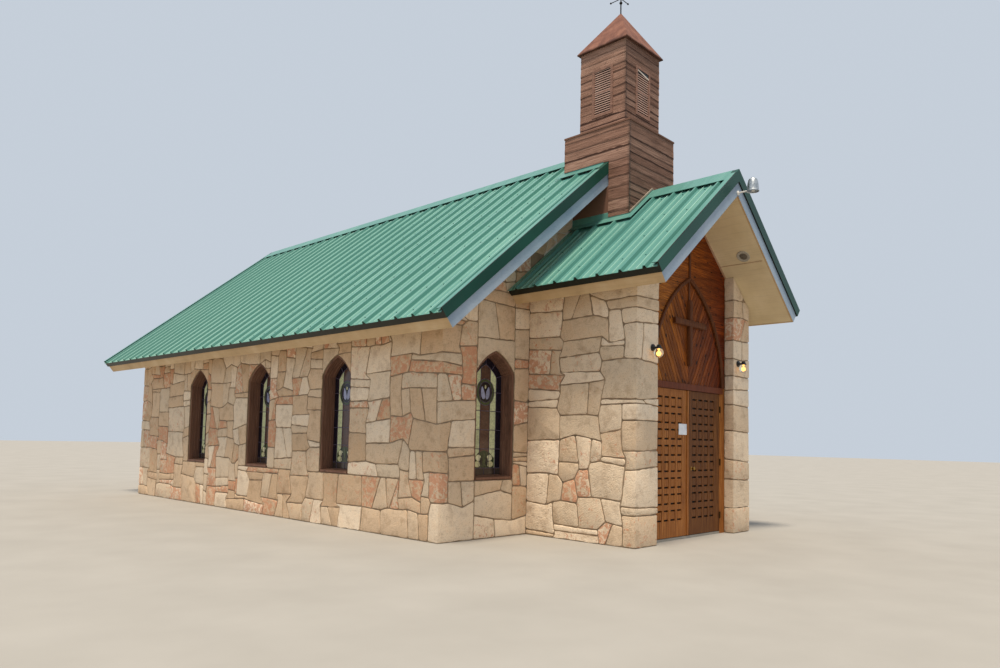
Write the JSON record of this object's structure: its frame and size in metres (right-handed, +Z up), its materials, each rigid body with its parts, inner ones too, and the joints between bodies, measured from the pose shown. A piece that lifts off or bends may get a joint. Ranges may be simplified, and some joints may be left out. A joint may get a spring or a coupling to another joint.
{
  "type": "small chapel",
  "caption": "Small gabled stone chapel with an entrance porch, double doors that open, pointed windows, a ribbed metal roof and a timber steeple.",
  "frame": {"origin": "bottom centre of the whole chapel's box, on the ground", "axes": "+Z up, the doors face -Y and the nave runs back to +Y, +X to the right of a visitor who faces the doors"},
  "size_m": [7.4522, 12.62, 8.42],
  "materials": {
    "rubble_stone": "rough limestone rubble with recessed mortar",
    "screed": "trowelled floor",
    "window_timber": "painted dark brown",
    "leaded_glass": "coloured leaded glass",
    "roof_panel": "sea green coated sheet",
    "edge_trim": "dark green coated sheet",
    "fascia_board": "painted cream",
    "roof_timber": "painted soffit boards",
    "steeple_siding": "rough stained boards",
    "steeple_flashing": "pale green coated sheet",
    "spire_covering": "faded terracotta",
    "vane_iron": "black painted",
    "door_timber": "oiled hardwood",
    "gable_timber": "knotty boards, varnished",
    "cross_timber": "dark stained beam",
    "hinge_brass": "worn brass",
    "sconce_black": "black enamel",
    "galvanised": "galvanised sheet",
    "lamp_trim": "white enamel"
  },
  "bodies": {
    "building": {"nave_left_wall": "rubble_stone", "nave_right_wall": "rubble_stone", "nave_back_wall": "rubble_stone", "nave_front_wall_left": "rubble_stone", "nave_front_wall_right": "rubble_stone", "nave_front_gable": "rubble_stone", "porch_left_wall": "rubble_stone", "porch_right_wall": "rubble_stone", "porch_left_pier": "rubble_stone", "porch_right_pier": "rubble_stone", "floor_slab": "screed", "nave_left_window_frames": "window_timber", "nave_right_window_frames": "window_timber", "front_window_frames": "window_timber", "nave_left_window_glass": "leaded_glass", "nave_right_window_glass": "leaded_glass", "front_window_glass": "leaded_glass", "nave_metal_sheets": "roof_panel", "porch_metal_sheets": "roof_panel", "nave_ridge_cap": "roof_panel", "porch_ridge_cap": "roof_panel", "nave_edge_trim": "edge_trim", "porch_edge_trim": "edge_trim", "nave_fascia": "fascia_board", "porch_fascia": "fascia_board", "nave_roof_left": "roof_timber", "nave_roof_right": "roof_timber", "porch_roof_left": "roof_timber", "porch_roof_right": "roof_timber", "steeple_base": "steeple_siding", "belfry": "steeple_siding", "belfry_louvres": "steeple_siding", "steeple_flashing": "steeple_flashing", "spire_roof": "spire_covering", "weathervane": "vane_iron", "door_jambs": "door_timber", "door_lintel": "door_timber", "porch_gable_boarding": "gable_timber", "arch_panel": "gable_timber", "arch_moulding": "gable_timber", "gable_cross": "cross_timber", "door_hinges": "hinge_brass", "porch_sconces": "sconce_black", "gable_light": "galvanised", "soffit_lights": "lamp_trim"},
    "left_leaf": {"door_leaf_left": "door_timber"},
    "right_leaf": {"door_leaf_right": "door_timber", "door_handle": "hinge_brass"}
  },
  "joints": [
    {"name": "left_leaf_hinge", "type": "hinge", "parent": "building", "child": "left_leaf", "pos_m": [-0.882, -5.305, 1], "axis": [0, 0, -1], "range_deg": [0, 90]},
    {"name": "right_leaf_hinge", "type": "hinge", "parent": "building", "child": "right_leaf", "pos_m": [0.882, -5.305, 1], "axis": [0, 0, 1], "range_deg": [0, 90]}
  ]
}
